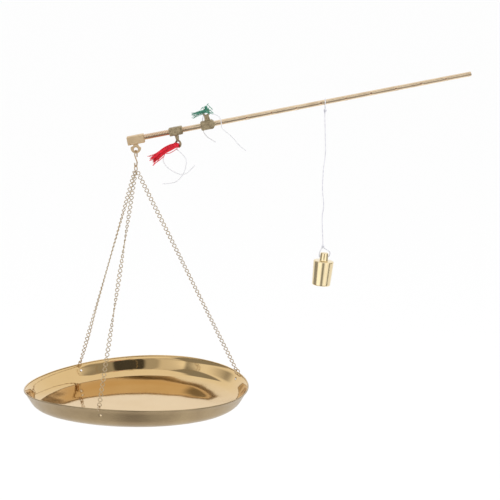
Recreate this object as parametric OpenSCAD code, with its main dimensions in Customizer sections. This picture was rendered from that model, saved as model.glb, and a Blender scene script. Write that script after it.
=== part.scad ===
// Hand steelyard: a tapered brass beam that hangs from an eye, a dished pan on three
// chains at its short end and a sliding poise on a thread along its long end.
// The origin is the centre of the lifting eye's hole. X runs towards the beam's thin
// end, Z points up, and the beam rests tilted up towards +X.

/* [Beam] */
// Tilt of the beam at rest, thin end up
beam_tilt = 11.6; // [6:0.1:16]
// Distance from the lifting eye's hole to the beam's thin end
beam_reach = 232.4; // [200:0.1:260]
// Diameter of the beam where it enters the load block
beam_d = 4.8; // [4.4:0.1:5.6]
// Diameter of the beam at its thin end
beam_tip_d = 4.1; // [3:0.1:4.4]
// Depth of the beam's axis below the lifting eye's hole
beam_drop = 10.9; // [10:0.1:13]
// Diameter of the graduation studs
stud_d = 1.3; // [0.8:0.1:1.8]
// Spacing of the graduation studs
stud_pitch = 22; // [15:0.5:30]
// Distance from the lifting eye to the first stud
stud_start = 12; // [10:0.5:20]

/* [Load block and eye] */
// Distance from the lifting eye to the load block's middle
load_u = 64.4; // [58:0.1:75]
// Length of the load block along the beam
load_block_l = 15.2; // [14.4:0.1:18]
// Height of the load block
load_block_h = 7.4; // [6.6:0.1:7.8]
// Depth of the load block from front to back
load_block_w = 8; // [7:0.1:10]
// Depth of the socket that takes the beam's end
socket_l = 2.6; // [2:0.1:2.8]
// Length of the slot in which the load eye swings
eye_slot_l = 9.8; // [9.2:0.1:9.8]
// Thickness of the load eye's plate
eye_t = 2.2; // [1.6:0.1:2.6]
// Distance from the load pivot to the centre of the load eye's hole
eye_drop = 8.7; // [8.2:0.1:11]
// Widest part of the load eye
eye_w = 9.1; // [8:0.1:10]
// Width of the load eye's shank
eye_shank_w = 3.8; // [3.2:0.1:4.2]
// Diameter of the load eye's hole
eye_hole_d = 3.6; // [3.4:0.1:4]
// Diameter of the load pivot pin
pivot_d = 1.8; // [1.4:0.1:2.2]

/* [Fulcrum blocks] */
// Distance from the lifting eye to the red fulcrum block's middle
red_u = 28.8; // [24:0.1:36]
// Length of the red fulcrum block along the beam
red_block_l = 11.9; // [10:0.1:14]
// Height of the red fulcrum block
red_block_h = 7; // [6.6:0.1:8]
// Length of the green fulcrum block's square part along the beam
green_block_l = 10.4; // [8:0.1:12]
// Length of the green fulcrum block's pointed end
green_point_l = 2.7; // [2:0.1:4]
// Height of the green fulcrum block
green_block_h = 7.6; // [6.6:0.1:8]
// Depth of both fulcrum blocks from front to back
block_w = 7.6; // [6.6:0.1:9]
// Diameter of the cross pin in each fulcrum block
cross_pin_d = 1.4; // [1:0.1:1.6]
// Distance from the beam's axis to the centre of the red eye's ring
red_eye_drop = 11.3; // [10:0.1:13]
// Middle diameter of the red eye's ring
red_ring_d = 5.4; // [5:0.1:6]
// Thickness of the red eye's ring
red_ring_t = 1.7; // [1.4:0.1:2]
// Turn of the red eye about its neck
red_eye_turn = -40; // [-60:5:60]
// Diameter of the lifting eye's hole
lift_hole_d = 3.5; // [3.3:0.1:3.9]
// Outside diameter of the lifting eye
lift_eye_d = 6.8; // [6.4:0.1:7.2]
// Width of the lifting eye's neck
lift_neck_w = 3.6; // [3:0.1:4.4]
// Thickness of the lifting eye's neck
lift_neck_t = 2.2; // [1.8:0.1:2.6]

/* [Hook and gather ring] */
// Wire of the S-hook
hook_d = 1.2; // [1:0.05:1.3]
// Middle radius of the S-hook's two curls
hook_r = 2.5; // [2.4:0.05:2.8]
// Distance between the centres of the S-hook's curls
hook_l = 9.3; // [8.4:0.1:14]
// Turn of the S-hook about the plumb line
hook_turn = 160; // [150:1:180]
// Wire of the gather ring
gather_wire = 0.9; // [0.7:0.05:1]
// Middle radius of the gather ring
gather_r = 2.5; // [2.4:0.05:3]
// Turn of the gather ring about the plumb line
gather_turn = -60; // [-70:1:-50]

/* [Chains] */
// Wire of a chain link
link_wire = 0.85; // [0.7:0.05:0.9]
// Length of a chain link, middle to middle of its wire
link_l = 5.29; // [4.8:0.01:6]
// Width of a chain link, middle to middle of its wire
link_w = 3.3; // [3:0.05:3.8]
// Twist of a link's ends out of its plane
link_twist = 42; // [36:1:46]
// Half turns that each chain takes besides the least that it needs
chain_half_turns = [-1, 0, 2];

/* [Pan] */
// Outside diameter of the pan's rim
pan_d = 199; // [160:1:240]
// Depth of the pan
pan_depth = 19.2; // [16:0.1:22]
// Thickness of the pan's sheet
pan_t = 0.345; // [0.3:0.005:0.8]
// Radius of the pan's flat floor as a part of the rim's radius
pan_floor = 0.7; // [0.66:0.01:0.74]
// Slope of the pan's wall at the rim
pan_wall_angle = 60; // [56:1:64]
// Diameter of the rounded bead on the rim
rim_bead_d = 1.2; // [1:0.1:2]
// Height of the pan's rim below the load pivot
pan_hang = 219.5; // [180:0.1:260]
// Bearings of the three rim holes, seen from above
ring_bearings = [24.3, 125, 254.6];
// Distance from the rim down the wall to the rim holes
rim_hole_drop = 6.2; // [5.6:0.1:7]
// Diameter of the rim holes
rim_hole_d = 2; // [1.8:0.1:2.6]
// Wire of the rim rings
rim_ring_wire = 0.9; // [0.7:0.05:1]
// Length of a rim ring, middle to middle of its wire
rim_ring_l = 8.8; // [8.4:0.1:11]
// Width of a rim ring, middle to middle of its wire
rim_ring_w = 4.4; // [4.4:0.1:5.4]
// Sideways lean of each rim ring
rim_ring_lean = [-7, 0, 7];

/* [Poise] */
// Distance from the lifting eye to the poise thread
poise_u = 103.6; // [60:0.1:180]
// Diameter of the poise at its shoulder
poise_d = 17.9; // [16:0.1:20]
// Diameter of the poise at its foot
poise_foot_d = 16.1; // [14:0.1:18]
// Height of the poise's body
poise_h = 22; // [18:0.1:26]
// Diameter of the poise's neck at its base
neck_d = 7.8; // [7:0.1:9]
// Diameter of the poise's neck at its top
neck_top_d = 6.8; // [6:0.1:7]
// Height of the poise's neck
neck_h = 7; // [6:0.1:9]
// Height of the thread bore above the poise's body
neck_bore_z = 3.2; // [2.6:0.1:3.6]
// Diameter of the thread bore
neck_bore_d = 2.4; // [2:0.1:2.8]
// Lean of the poise on its thread
poise_lean = 5.5; // [0:0.5:8]
// Distance from the beam's axis down to the poise's thread bore
poise_hang = 137.2; // [110:0.1:160]
// Diameter of the poise's thread
thread_d = 0.9; // [0.6:0.05:1]
// Length of the thread's loop below the beam's axis
loop_drop = 7.4; // [6.5:0.1:9]

/* [Silk] */
// Diameter of the thin silk cords
cord_d = 0.9; // [0.7:0.05:1.2]
// Diameter of the yarn where it passes through an eye
yarn_d = 1.5; // [1.2:0.1:1.6]
// Diameter of the red tassel at its widest
red_tassel_d = 6; // [4:0.1:7]
// Length of the red tassel from its ring
red_tassel_l = 30; // [20:0.5:32]
// Diameter of the green tassel at its widest
green_tassel_d = 4; // [3:0.1:4.4]
// Length of the green tassel's skirt
green_tassel_l = 11; // [8:0.5:14]

/* [Fits] */
// Radial clearance of a piece that is pressed or soldered in
seat_gap = 0.01; // [0.01:0.01:0.03]
// Radial clearance of a piece that turns
run_gap = 0.05; // [0.03:0.01:0.08]
// Side clearance of the load eye in its slot
slot_gap = 0.2; // [0.1:0.05:0.3]
// Least slack between two chain links
link_gap = 0.03; // [0.02:0.01:0.06]

/* [Hidden] */
$fn = 48;

// Colours
brass = "#d9b36a";
old_brass = "#a88d5c";
pale_brass = "#e2cf9f";
copper = "#9a5a3a";

// Places along the beam, in its own frame: x along the beam, z square to it
beam_start = -load_u + load_block_l / 2 - socket_l;
beam_axis_z = -beam_drop;
tip_round = 0.6;
load_block_z = beam_axis_z - 0.6;
edge_chamfer = 0.5;
stud_count = floor((beam_reach - stud_start - 8) / stud_pitch) + 1;
stud_sink = 1;

// Load eye, in the world's frame
load_pivot = on_beam(-load_u, load_block_z);
eye_hole = load_pivot - [0, 0, eye_drop];
eye_boss_d = 5.4;
eye_hole_chamfer = 0.5;
eye_foot = 3.5;
eye_flare_r = 3.6;

// S-hook and gather ring
hook_dir = [-sin(hook_turn), cos(hook_turn), 0];
hook_axis = [cos(hook_turn), sin(hook_turn), 0];
gather_dir = [cos(gather_turn), sin(gather_turn), 0];
curl_top = eye_hole - [0, 0, eye_foot];
curl_low = curl_top - [0, 0, hook_l];
gather_top = curl_low - [0, 0, hook_r - hook_d / 2 - gather_wire / 2 - run_gap];
gather_centre = gather_top - [0, 0, gather_r];
gather_bearings = [38, -42, -2];

// Pan, tipped a little as it hangs
pan_r = pan_d / 2;
pan_tip = [-1.37, -1.08, 0];
pan_centre = load_pivot + [0.4, 0, -pan_hang];
floor_r = pan_r * pan_floor;
wall_run = pan_r - pan_depth / tan(pan_wall_angle) - floor_r;
wall_r = wall_run / tan(pan_wall_angle / 2);
lip_l = pan_depth / sin(pan_wall_angle) - wall_run;
hole_angle = pan_wall_angle - (rim_hole_drop - lip_l) / wall_r * 180 / PI;
rim_hole = [floor_r + (wall_r - pan_t / 2) * sin(hole_angle), wall_r - pan_depth - (wall_r - pan_t / 2) * cos(hole_angle)];
ring_lean = 20;
ring_axis = [sin(ring_lean), cos(ring_lean)];
ring_reach = ring_axis * (rim_ring_l - rim_ring_w / 2);

// Chain links: two C-shaped ends joined by two straight sides
link_half_l = link_l / 2;
link_half_w = link_w / 2;
link_sides = 5;
side_lean = atan(link_half_w / link_half_l * tan(link_twist));
end_reach = link_half_w / cos(link_twist);
end_turn = acos(-sin(link_twist) * sin(side_lean));
end_r = end_reach / tan(end_turn / 2);
tip_flat = 50;
link_pitch = link_l - link_wire - link_gap;

// Poise
poise_axis = on_beam(poise_u, beam_axis_z);
loop_r = beam_r(30) / cos(beam_tilt) + thread_d / 2 + 0.07;
loop_centre = poise_axis + [0, 0, beam_r(poise_u) / cos(beam_tilt) + thread_d / 2 + run_gap - loop_r];
loop_foot = poise_axis - [0, 0, loop_drop];
thread_eye_r = thread_d + run_gap;
knot_d = 2.1 * thread_d;
poise_bore = poise_axis + [1.2, 0, -poise_hang];
top_knot = loop_foot - [0, 0, thread_eye_r + thread_d];
low_knot = [poise_axis.x, 0, poise_bore.z + 9.2];

// Silk
lift_band_z = (lift_eye_d + lift_hole_d) / 4;
yarn_ring_r = yarn_d / 2 + 1.5;
yarn_ring_z = lift_hole_d / 2 - run_gap - yarn_d / 2 + yarn_ring_r;
red_eye = on_beam(-red_u, beam_axis_z - red_eye_drop);
red_pull = 24;
red_side = 22;
red_ring_z = -red_ring_d / 2;
cord_sides = 8;
red_cord_a_route = [
  [-25.6, -0.6, -32.2], [-24.2, -2.4, -32.9], [-22.2, -3.4, -34.4], [-19.6, -3.9, -36.8],
  [-17.5, -4, -39.6], [-16.5, -4, -42.8], [-16.9, -4, -46.2], [-17.6, -4, -49.6],
  [-18.9, -4, -53], [-21, -4, -56.4], [-23.8, -4, -59.3], [-27, -4, -61.2], [-30.3, -4, -61.9],
  [-33.8, -4, -62.3], [-37.3, -4, -62.5]
];
red_cord_b_route = [
  [-36, -5.2, -37.8], [-36.5, -5.5, -39.7], [-36.6, -5.8, -41.6], [-36, -5.8, -43.6],
  [-34.8, -5.8, -45.6], [-33.1, -5.8, -47.6], [-31, -5.8, -49.3], [-28.6, -5.8, -50.8],
  [-26, -5.8, -52.2], [-23.3, -5.8, -53.3], [-20.6, -5.8, -53.9], [-17.8, -5.7, -53.4],
  [-15.2, -5.6, -51.8], [-12.2, -5.5, -49.1], [-9, -5.4, -45.5]
];
green_cord_a_route = [
  [-0.2, 3.9, 0.6], [-0.9, 4.7, -0.7], [-1.6, 5.2, -2.2], [-2.3, 5.5, -4.2], [-2.8, 5.6, -6.4],
  [-3, 5.6, -8.8], [-3, 5.6, -11.2], [-2.8, 5.6, -13.6], [-2.4, 5.6, -16], [-1.5, 5.5, -18.4],
  [-0.1, 5.4, -20.6], [1.7, 5.4, -22.4], [3.9, 5.3, -23.9], [6.3, 5.2, -25.3], [8.8, 5.1, -26.7]
];
green_cord_b_route = [
  [5.2, -4.2, -0.5], [7.4, -4.2, -1], [9.7, -4.2, -1.7], [12, -4.4, -3.4], [13.3, -4.5, -6.3],
  [13.7, -4.5, -9.8], [14.5, -4.5, -13.2], [17.4, -4.5, -15.9], [20.3, -4.5, -18.2],
  [23, -4.4, -20.6], [25.4, -4.3, -23.2], [27.6, -4.2, -25.8], [29.8, -4.2, -28.2],
  [32.5, -4.1, -30.5], [35.4, -4, -32.7]
];

function unit(v) = v / norm(v);
function sum(v, i = 0) = i < len(v) ? v[i] + sum(v, i + 1) : 0;
// A point of the beam's own frame in the world's frame
function on_beam(u, w, y = 0) = [
  u * cos(beam_tilt) - w * sin(beam_tilt), y, u * sin(beam_tilt) + w * cos(beam_tilt)
];
// Radius of the tapered beam at the distance u from the lifting eye
function beam_r(u) = (beam_d + (beam_tip_d - beam_d) * (u - beam_start) / (beam_reach - beam_start)) / 2;
// A point of the tipped pan in the world's frame
function tipped(p) =
  let (q = [p.x, p.y * cos(pan_tip.x) - p.z * sin(pan_tip.x), p.y * sin(pan_tip.x) + p.z * cos(pan_tip.x)])
  pan_centre + [q.x * cos(pan_tip.y) + q.z * sin(pan_tip.y), q.y, q.z * cos(pan_tip.y) - q.x * sin(pan_tip.y)];
// Half turns about the three axes
function turn_x(p) = [p.x, -p.y, -p.z];
function turn_y(p) = [-p.x, p.y, -p.z];
function turn_z(p) = [-p.x, -p.y, p.z];

// A round tube swept along a path. The sections are square to the path and stay at the
// same thickness round a bend; up is a direction that the path never takes.
module tube(path, d, sides, up, closed = false) {
  last = len(path) - 1;
  rings = [for (i = [0:last])
    let (before = closed ? path[(i + last) % (last + 1)] : path[max(i - 1, 0)])
    let (after = closed ? path[(i + 1) % (last + 1)] : path[min(i + 1, last)])
    let (into = i == 0 && !closed ? unit(after - path[i]) : unit(path[i] - before))
    let (out = i == last && !closed ? into : unit(after - path[i]))
    let (t = unit(into + out), across = unit(cross(up, t)), lift = cross(t, across))
    [for (k = [0:sides - 1]) let (a = 360 * (k + 0.5) / sides)
      path[i] + d / 2 * (across * cos(a) / (t * out) + lift * sin(a))]];
  skin = [for (i = [0:closed ? last : last - 1], k = [0:sides - 1])
    let (j = (i + 1) % (last + 1), m = (k + 1) % sides)
    each [[i * sides + k, j * sides + m, i * sides + m], [i * sides + k, j * sides + k, j * sides + m]]];
  caps = closed ? [] : [for (k = [1:sides - 2]) each [[0, k, k + 1], [last * sides, last * sides + k + 1, last * sides + k]]];
  polyhedron(points = [for (ring = rings) each ring], faces = concat(skin, caps));
}

// A block with all its edges chamfered
module chamfered(size, c) {
  module outline(a, b) {
    polygon([[-a / 2 + c, -b / 2], [a / 2 - c, -b / 2], [a / 2, -b / 2 + c], [a / 2, b / 2 - c],
             [a / 2 - c, b / 2], [-a / 2 + c, b / 2], [-a / 2, b / 2 - c], [-a / 2, -b / 2 + c]]);
  }
  intersection() {
    linear_extrude(size.z, center = true) outline(size.x, size.y);
    rotate([90, 0, 0]) linear_extrude(size.y, center = true) outline(size.x, size.z);
    rotate([90, 0, 90]) linear_extrude(size.x, center = true) outline(size.y, size.z);
  }
}

// Turns the beam's own frame into the world's frame
module along_beam() {
  rotate([0, -beam_tilt, 0]) children();
}

// The tapered rod's solid, grown by a gap for the bores that it passes through
module rod(gap = 0) {
  r_start = beam_r(beam_start) + gap;
  r_end = beam_r(beam_reach) + gap;
  translate([beam_start - gap, 0, beam_axis_z]) rotate([0, 90, 0]) rotate_extrude()
    polygon([[0, 0], [r_start, 0], [r_end, beam_reach - beam_start - tip_round],
             [r_end - tip_round, beam_reach - beam_start], [0, beam_reach - beam_start]]);
}

// The studs' holes and the studs, on the beam's front
module stud_row(d, length) {
  for (i = [0:stud_count - 1])
    translate([stud_start + i * stud_pitch, -beam_r(stud_start + i * stud_pitch) + stud_sink, beam_axis_z])
      rotate([90, 0, 0]) cylinder(d = d, h = length);
}

// A pin square to the beam, through a fulcrum block
module cross_pin(u, d, length) {
  translate([u, 0, beam_axis_z]) rotate([90, 0, 0]) cylinder(d = d, h = length, center = true);
}

module beam() {
  color(pale_brass) along_beam() difference() {
    rod();
    stud_row(stud_d + 2 * seat_gap, 3);
    cross_pin(-red_u, cross_pin_d + 2 * seat_gap, 2 * beam_d);
    cross_pin(0, cross_pin_d + 2 * seat_gap, 2 * beam_d);
  }
}

module graduation_studs() {
  color(copper) along_beam() intersection() {
    stud_row(stud_d, 3);
    rod();
  }
}

module load_block() {
  color(brass) along_beam() difference() {
    translate([-load_u, 0, load_block_z]) chamfered([load_block_l, load_block_w, load_block_h], edge_chamfer);
    rod(seat_gap);
    translate([-load_u, 0, load_block_z]) rotate([90, 0, 0])
      cylinder(d = pivot_d + 2 * seat_gap, h = 2 * load_block_w, center = true);
    translate([-load_u - eye_slot_l / 2, -eye_t / 2 - slot_gap, load_block_z - load_block_h])
      cube([eye_slot_l, eye_t + 2 * slot_gap, load_block_h + eye_boss_d / 2 + slot_gap]);
  }
}

module load_pivot_pin() {
  color(old_brass) along_beam() translate([-load_u, 0, load_block_z]) rotate([90, 0, 0])
    cylinder(d = pivot_d, h = load_block_w + 0.6, center = true);
}

// The load eye hangs plumb: a boss on the pivot, a shank and a flared foot with the hole
module load_eye() {
  module outline() {
    difference() {
      union() {
        translate([0, eye_drop]) circle(d = eye_boss_d);
        translate([-eye_shank_w / 2, 0]) square([eye_shank_w, eye_drop]);
        intersection() {
          translate([0, eye_w / 2 - eye_foot]) circle(d = eye_w);
          translate([-eye_w / 2, -eye_foot]) square([eye_w, eye_foot + eye_w / 4]);
        }
        polygon([[-eye_w * 0.48, 1], [eye_w * 0.48, 1], [eye_shank_w / 2, eye_flare_r + 1.4], [-eye_shank_w / 2, eye_flare_r + 1.4]]);
      }
      for (side = [-1, 1])
        translate([side * (eye_shank_w / 2 + eye_flare_r), eye_flare_r + 1.6]) circle(r = eye_flare_r);
    }
  }
  color(brass) translate(eye_hole) rotate([90, 0, 0]) difference() {
    linear_extrude(eye_t, center = true) outline();
    translate([0, eye_drop]) cylinder(d = pivot_d + 2 * run_gap, h = 2 * eye_t, center = true);
    cylinder(d = eye_hole_d, h = 2 * eye_t, center = true);
    for (side = [0, 180]) rotate([side, 0, 0]) translate([0, 0, eye_t / 2 - eye_hole_chamfer])
      cylinder(d1 = eye_hole_d, d2 = eye_hole_d + 4 * eye_hole_chamfer, h = 2 * eye_hole_chamfer);
  }
}

// The red fulcrum block is cast in one with its round eye below
module red_fulcrum_block() {
  color(old_brass) along_beam() difference() {
    union() {
      translate([-red_u, 0, beam_axis_z]) chamfered([red_block_l, block_w, red_block_h], edge_chamfer);
      translate([-red_u, 0, beam_axis_z - red_eye_drop]) rotate([0, 0, red_eye_turn]) {
        rotate([90, 0, 0]) rotate_extrude() translate([red_ring_d / 2, 0]) circle(d = red_ring_t);
        translate([0, 0, red_ring_d / 2]) cylinder(d1 = 2.6, d2 = 4, h = red_eye_drop - red_ring_d / 2 - red_block_h / 2 + 0.5);
      }
    }
    rod(seat_gap);
    cross_pin(-red_u, cross_pin_d + 2 * seat_gap, 2 * block_w);
  }
}

module red_cross_pin() {
  color(copper) along_beam() cross_pin(-red_u, cross_pin_d, block_w);
}

// The green fulcrum block is cast in one with the lifting eye above, and ends in a point
module green_fulcrum_block() {
  module side_view() {
    translate([0, beam_axis_z]) polygon([
      [-green_block_l / 2 - 1.3, -green_block_h / 2 + edge_chamfer], [-green_block_l / 2 - 0.5, -green_block_h / 2],
      [green_block_l / 2 - 1.3, -green_block_h / 2], [green_block_l / 2 - 1.3 + green_point_l, -0.6],
      [green_block_l / 2 - 1.3 + green_point_l, 0.6], [green_block_l / 2 - 1.3, green_block_h / 2],
      [-green_block_l / 2 - 0.5, green_block_h / 2], [-green_block_l / 2 - 1.3, green_block_h / 2 - edge_chamfer]
    ]);
  }
  color(old_brass) along_beam() difference() {
    union() {
      rotate([90, 0, 0]) linear_extrude(block_w, center = true) side_view();
      rotate([90, 0, 0]) rotate_extrude() translate([lift_band_z, 0]) circle(d = lift_eye_d / 2 - lift_hole_d / 2);
      rotate([90, 0, 0]) linear_extrude(lift_neck_t, center = true) difference() {
        polygon([[-lift_neck_w / 2, -1], [lift_neck_w / 2, -1], [lift_neck_w / 2 + 0.8, beam_axis_z + green_block_h / 2 - 0.2],
                 [-lift_neck_w / 2 - 0.8, beam_axis_z + green_block_h / 2 - 0.2]]);
        circle(d = lift_hole_d + 0.8);
      }
    }
    rod(seat_gap);
    cross_pin(0, cross_pin_d + 2 * seat_gap, 2 * block_w);
  }
}

module green_cross_pin() {
  color(copper) along_beam() cross_pin(0, cross_pin_d, block_w);
}

// The S-hook: its upper curl hangs in the load eye, its lower curl carries the ring
module s_hook() {
  function curl(centre, from, to) = [for (a = [from:30 * sign(to - from):to]) centre + hook_r * (hook_dir * cos(a) + [0, 0, sin(a)])];
  path = concat(
    [curl_top - hook_dir * hook_r - [0, 0, 3.6]],
    curl(curl_top, 180, 0),
    [curl_top + hook_dir * hook_r * 0.96 - [0, 0, 1.6], curl_low - hook_dir * hook_r * 0.96 + [0, 0, 1.6]],
    curl(curl_low, 180, 360),
    [curl_low + hook_dir * hook_r + [0, 0, 1.2]]
  );
  color(brass) tube(path, hook_d, cord_sides, hook_axis);
}

module gather_ring() {
  color(brass) translate(gather_centre) rotate([90, 0, gather_turn]) rotate_extrude()
    translate([gather_r, 0]) circle(d = gather_wire);
}

// One curb link along X. Its ends are twisted against each other, so that the next link
// of the chain lies the same way and still passes through.
module curb_link() {
  tip = [link_half_l, 0, 0];
  along_tip = [0, cos(link_twist), sin(link_twist)];
  along_side = [-cos(side_lean), 0, -sin(side_lean)];
  axis = unit(cross(along_tip, along_side));
  centre = tip + cross(axis, along_tip) * end_r;
  out = unit(tip - centre);
  function corner(a, b) = centre + end_r / cos((b - a) / 2) * (out * cos((a + b) / 2) + along_tip * sin((a + b) / 2));
  near = corner(0, tip_flat);
  far = corner(tip_flat, end_turn);
  tube([near, far, turn_y(far), turn_y(near), turn_z(near), turn_z(far), turn_x(far), turn_x(near)],
       link_wire, link_sides, [0, 0, 1], closed = true);
}

// A taut chain from the gather ring to one rim ring. The roll of the links changes
// evenly, so that each end link lies across the ring that it hangs on.
module chain(index) {
  bearing = ring_bearings[index];
  g = gather_bearings[index];
  outward = [cos(bearing), sin(bearing), 0];
  across = [-outward.y, outward.x, 0];
  start = gather_centre + (gather_dir * sin(g) - [0, 0, cos(g)]) * (gather_r - (gather_wire + link_wire) / 2 - 2 * link_gap);
  lean = rim_ring_lean[index];
  ring_up = [0, 0, cos(lean)] - across * sin(lean);
  across_foot = [0, 0, sin(lean)] + across * cos(lean);
  eye = tipped(outward * (rim_hole.x + ring_reach.x) + [0, 0, rim_hole.y] + ring_up * ring_reach.y);
  e = unit(eye - start);
  run = norm(eye - start) - (rim_ring_w - rim_ring_wire - link_wire) / 2 + link_gap;
  count = 1 + ceil((run - link_l) / link_pitch);
  pitch = (run - link_l) / (count - 1);
  y0 = unit(cross([0, 0, 1], e));
  z0 = cross(e, y0);
  across_top = cross(e, gather_dir * cos(g) + [0, 0, sin(g)]);
  roll_top = atan2(across_top * z0, across_top * y0) + link_twist;
  roll_foot = atan2(across_foot * z0, across_foot * y0) - link_twist;
  roll = roll_foot - roll_top + 180 * (chain_half_turns[index] - round((roll_foot - roll_top) / 180));
  for (i = [0:count - 1]) {
    p = start + e * (link_half_l + i * pitch);
    multmatrix([[e.x, y0.x, z0.x, p.x], [e.y, y0.y, z0.y, p.y], [e.z, y0.z, z0.z, p.z], [0, 0, 0, 1]])
      rotate([roll_top + roll * i / (count - 1), 0, 0]) curb_link();
  }
}

module chain_right() {
  color(pale_brass) chain(0);
}

module chain_rear() {
  color(pale_brass) chain(1);
}

module chain_front() {
  color(pale_brass) chain(2);
}

// A long wire ring through a rim hole and over the rim
module pan_ring(index) {
  half = rim_ring_w / 2;
  side = [ring_axis.y, -ring_axis.x];
  low = ring_axis * half;
  function bow(centre, from) = [for (a = [from:30:from + 180]) centre + half * (side * cos(a) + ring_axis * sin(a))];
  flat = concat(bow(ring_reach, 0), bow(low, 180));
  color(brass) translate(pan_centre) rotate(pan_tip) rotate([0, 0, ring_bearings[index]])
    translate([rim_hole.x, 0, rim_hole.y]) rotate([rim_ring_lean[index], 0, 0])
    tube([for (p = flat) [p.x, 0, p.y]], rim_ring_wire, 6, [0, 1, 0], closed = true);
}

module pan_ring_right() {
  pan_ring(0);
}

module pan_ring_rear() {
  pan_ring(1);
}

module pan_ring_front() {
  pan_ring(2);
}

// The pan is spun from sheet: a flat floor, a round turn, a short lip and a beaded rim
module pan() {
  wall_dir = [cos(pan_wall_angle), sin(pan_wall_angle)];
  seam = 0.3;
  module section() {
    translate([0, -pan_depth]) square([floor_r, pan_t]);
    intersection() {
      translate([floor_r, wall_r - pan_depth]) difference() {
        circle(r = wall_r, $fn = 180);
        circle(r = wall_r - pan_t, $fn = 180);
      }
      translate([floor_r, wall_r - pan_depth])
        polygon([[-seam, 0], [-seam, -2 * wall_r], [2 * wall_r * sin(pan_wall_angle), -2 * wall_r * cos(pan_wall_angle)]]);
    }
    translate([pan_r, 0] - wall_dir * (lip_l + seam)) rotate(pan_wall_angle) square([lip_l + seam, pan_t]);
    translate([pan_r, 0] + [-wall_dir.y, wall_dir.x] * pan_t / 2) circle(d = rim_bead_d);
  }
  color(brass) translate(pan_centre) rotate(pan_tip) difference() {
    rotate_extrude($fn = 180) section();
    for (bearing = ring_bearings) rotate([0, 0, bearing]) translate([rim_hole.x, 0, rim_hole.y])
      rotate([0, 180 - hole_angle, 0]) cylinder(d = rim_hole_d, h = 6, center = true);
  }
}

// The loop of thread that rides on the beam, with room below for the poise's eye
module poise_loop() {
  over = [for (a = [-30:24:210]) [0, loop_r * cos(a), loop_r * sin(a)] + loop_centre];
  foot = [[0, -1.35, 0.55], [0, -0.9, 0], [0, 0.9, 0], [0, 1.35, 0.55]];
  color("#e6e4df") tube(concat(over, [for (p = foot) loop_foot + p]), thread_d, 6, [1, 0, 0], closed = true);
}

// The thread's eye, hitched round the foot of the loop, with its knot
module poise_knot() {
  color("#e6e4df") {
    translate(loop_foot) rotate([90, 0, 0]) rotate_extrude() translate([thread_eye_r, 0]) circle(d = thread_d);
    translate(top_knot) sphere(d = knot_d);
  }
}

// The poise's thread: a long fall and a loop through the neck
module poise_cord() {
  half = neck_d / 2 + thread_d / 2;
  low_loop = [
    low_knot, low_knot + [1.8, 0, -1.6], [poise_bore.x + half + 0.3, 0, poise_bore.z + 4.6],
    poise_bore + [half + 0.5, 0, 2], poise_bore + [half - 0.3, 0, 0.5], poise_bore + [half - 1.6, 0, 0],
    poise_bore - [half - 1.6, 0, 0], poise_bore + [0.3 - half, 0, 0.5], poise_bore + [-half - 0.5, 0, 2],
    [poise_bore.x - half - 0.3, 0, poise_bore.z + 4.6], low_knot + [-1.8, 0, -1.6]
  ];
  color("#e6e4df") {
    translate(low_knot) cylinder(d = thread_d, h = top_knot.z - low_knot.z - knot_d / 2 - run_gap);
    translate(low_knot) sphere(d = knot_d);
    tube(low_loop, thread_d, 6, [0, 1, 0], closed = true);
  }
}

// The poise: a turned weight with a rounded shoulder and foot, and a drilled neck
module poise() {
  edge = 0.9;
  foot_z = -neck_bore_z - poise_h;
  color(brass) translate(poise_bore) rotate([0, poise_lean, 0]) difference() {
    rotate_extrude() polygon([
      [0, foot_z], [poise_foot_d / 2 - edge, foot_z], [poise_foot_d / 2 - edge / 4, foot_z + edge / 4],
      [poise_foot_d / 2, foot_z + edge], [poise_d / 2, -neck_bore_z - edge], [poise_d / 2 - edge / 4, -neck_bore_z - edge / 4],
      [poise_d / 2 - edge, -neck_bore_z], [neck_d / 2, -neck_bore_z], [neck_top_d / 2, neck_h - neck_bore_z - 0.6],
      [neck_top_d / 2 - 0.6, neck_h - neck_bore_z], [0, neck_h - neck_bore_z]
    ]);
    rotate([0, 90, 0]) cylinder(d = neck_bore_d, h = 2 * neck_d, center = true);
  }
}

// The red tassel: yarn round the red eye's ring, a bound head and a skirt
module red_tassel() {
  turn = beam_tilt;
  tassel_head = 3.8;
  ring_foot = red_eye + [red_ring_z * -sin(turn), 0, red_ring_z * cos(turn)];
  color("#c8202f") translate(ring_foot) {
    rotate([0, -turn, 0]) rotate([0, 0, red_eye_turn]) rotate([0, 90, 0]) rotate_extrude()
      translate([red_ring_t / 2 + yarn_d / 2 + 0.1, 0]) circle(d = yarn_d);
    rotate([0, 270 - red_pull, red_side]) {
      translate([0, 0, tassel_head]) sphere(d = 4.2);
      translate([0, 0, tassel_head]) cylinder(d1 = 4, d2 = red_tassel_d, h = red_tassel_l * 0.4);
      translate([0, 0, tassel_head + red_tassel_l * 0.4]) cylinder(d1 = red_tassel_d, d2 = 3.6, h = red_tassel_l * 0.6 - tassel_head);
    }
  }
}

module red_cord_a() {
  color("#dcdde2") tube(red_cord_a_route, cord_d, cord_sides, [0, 1, 0]);
}

module red_cord_b() {
  color("#dcdde2") tube(red_cord_b_route, cord_d, cord_sides, [0, 1, 0]);
}

// The green tassel: yarn through the lifting eye, a knot in front and a short skirt
module green_tassel() {
  color("#2f7a5a") {
    translate([0, 0, yarn_ring_z]) rotate([0, 90, 0]) rotate_extrude() translate([yarn_ring_r, 0]) circle(d = yarn_d);
    translate([0, -3.9, 1]) sphere(d = green_tassel_d);
    translate([0, -4.2, 0.6]) rotate([0, -110, 0])
      cylinder(d1 = green_tassel_d * 0.8, d2 = green_tassel_d * 0.7, h = green_tassel_l);
    translate([0, -4.2, 0.6]) rotate([0, 102, 0])
      cylinder(d1 = green_tassel_d * 0.8, d2 = green_tassel_d * 0.5, h = 6);
    translate([0, 3.4, 1.2]) sphere(d = green_tassel_d * 0.7);
  }
}

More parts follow.
